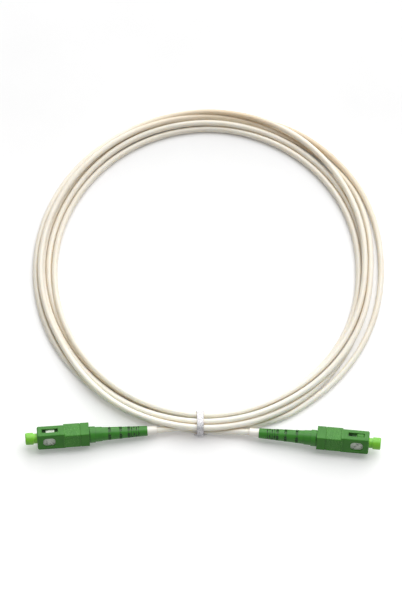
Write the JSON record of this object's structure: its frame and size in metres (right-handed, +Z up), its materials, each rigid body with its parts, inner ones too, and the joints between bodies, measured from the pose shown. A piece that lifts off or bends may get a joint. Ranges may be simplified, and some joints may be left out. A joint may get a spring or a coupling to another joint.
{
  "type": "fiber optic patch cord",
  "caption": "Simplex fiber optic patch cord, coiled and tied, with angle-polished push-pull plugs under dust caps.",
  "frame": {"origin": "on the table, at the bottom centre of the two connectors' box", "axes": "+X from the left connector to the right one, +Y from the connectors towards the coil, +Z up"},
  "size_m": [0.1772, 0.1874, 0.0122],
  "materials": {
    "green_shell": "moulded, satin",
    "white_frame": "moulded, satin",
    "ferrule_ceramic": "polished",
    "flange_metal": "turned",
    "spring_steel": "drawn wire",
    "back_body_metal": "turned",
    "crimp_metal": "crimped",
    "aramid": "yarn",
    "guide_plastic": "extruded",
    "buffer_plastic": "extruded",
    "fibre_glass": "drawn",
    "green_boot": "moulded, satin",
    "sleeve_plastic": "extruded",
    "cord_jacket": "extruded, smooth",
    "cap_plastic": "soft moulded",
    "tie_film": "clear soft film"
  },
  "bodies": {
    "cord": {"left_plug_frame": "white_frame", "left_spring": "spring_steel", "left_back_body": "back_body_metal", "left_crimp_ring": "crimp_metal", "left_aramid_yarn": "aramid", "left_guide_tube": "guide_plastic", "left_tight_buffer": "buffer_plastic", "left_boot": "green_boot", "left_boot_sleeve": "sleeve_plastic", "left_jacket_end": "cord_jacket", "right_plug_frame": "white_frame", "right_spring": "spring_steel", "right_back_body": "back_body_metal", "right_crimp_ring": "crimp_metal", "right_aramid_yarn": "aramid", "right_guide_tube": "guide_plastic", "right_tight_buffer": "buffer_plastic", "right_boot": "green_boot", "right_boot_sleeve": "sleeve_plastic", "right_jacket_end": "cord_jacket", "left_lead": "cord_jacket", "right_lead": "cord_jacket", "cable_tie": "tie_film", "coil": "cord_jacket"},
    "left_shell": {"left_housing": "green_shell"},
    "left_ferrule_group": {"left_ferrule": "ferrule_ceramic", "left_ferrule_flange": "flange_metal", "left_bare_fibre": "fibre_glass"},
    "left_cap": {"left_dust_cap": "cap_plastic"},
    "right_shell": {"right_housing": "green_shell"},
    "right_ferrule_group": {"right_ferrule": "ferrule_ceramic", "right_ferrule_flange": "flange_metal", "right_bare_fibre": "fibre_glass"},
    "right_cap": {"right_dust_cap": "cap_plastic"}
  },
  "joints": [
    {"name": "left_shell_slide", "type": "slide", "parent": "cord", "child": "left_shell", "axis": [-0.9951, -0.0888, 0.0436], "range_m": [0, 0.0018]},
    {"name": "left_ferrule_float", "type": "slide", "parent": "cord", "child": "left_ferrule_group", "axis": [0.9951, 0.0888, -0.0436], "range_m": [0, 0.0008], "stiffness_N_per_m": 1500, "springref_m": -0.004, "deforming": ["left_spring"]},
    {"name": "left_cap_pull", "type": "slide", "parent": "left_ferrule_group", "child": "left_cap", "axis": [-0.9951, -0.0888, 0.0436], "range_m": [0, 0.012]},
    {"name": "right_shell_slide", "type": "slide", "parent": "cord", "child": "right_shell", "axis": [0.993, -0.1096, 0.0436], "range_m": [0, 0.0018]},
    {"name": "right_ferrule_float", "type": "slide", "parent": "cord", "child": "right_ferrule_group", "axis": [-0.993, 0.1096, -0.0436], "range_m": [0, 0.0008], "stiffness_N_per_m": 1500, "springref_m": -0.004, "deforming": ["right_spring"]},
    {"name": "right_cap_pull", "type": "slide", "parent": "right_ferrule_group", "child": "right_cap", "axis": [0.993, -0.1096, 0.0436], "range_m": [0, 0.012]}
  ]
}
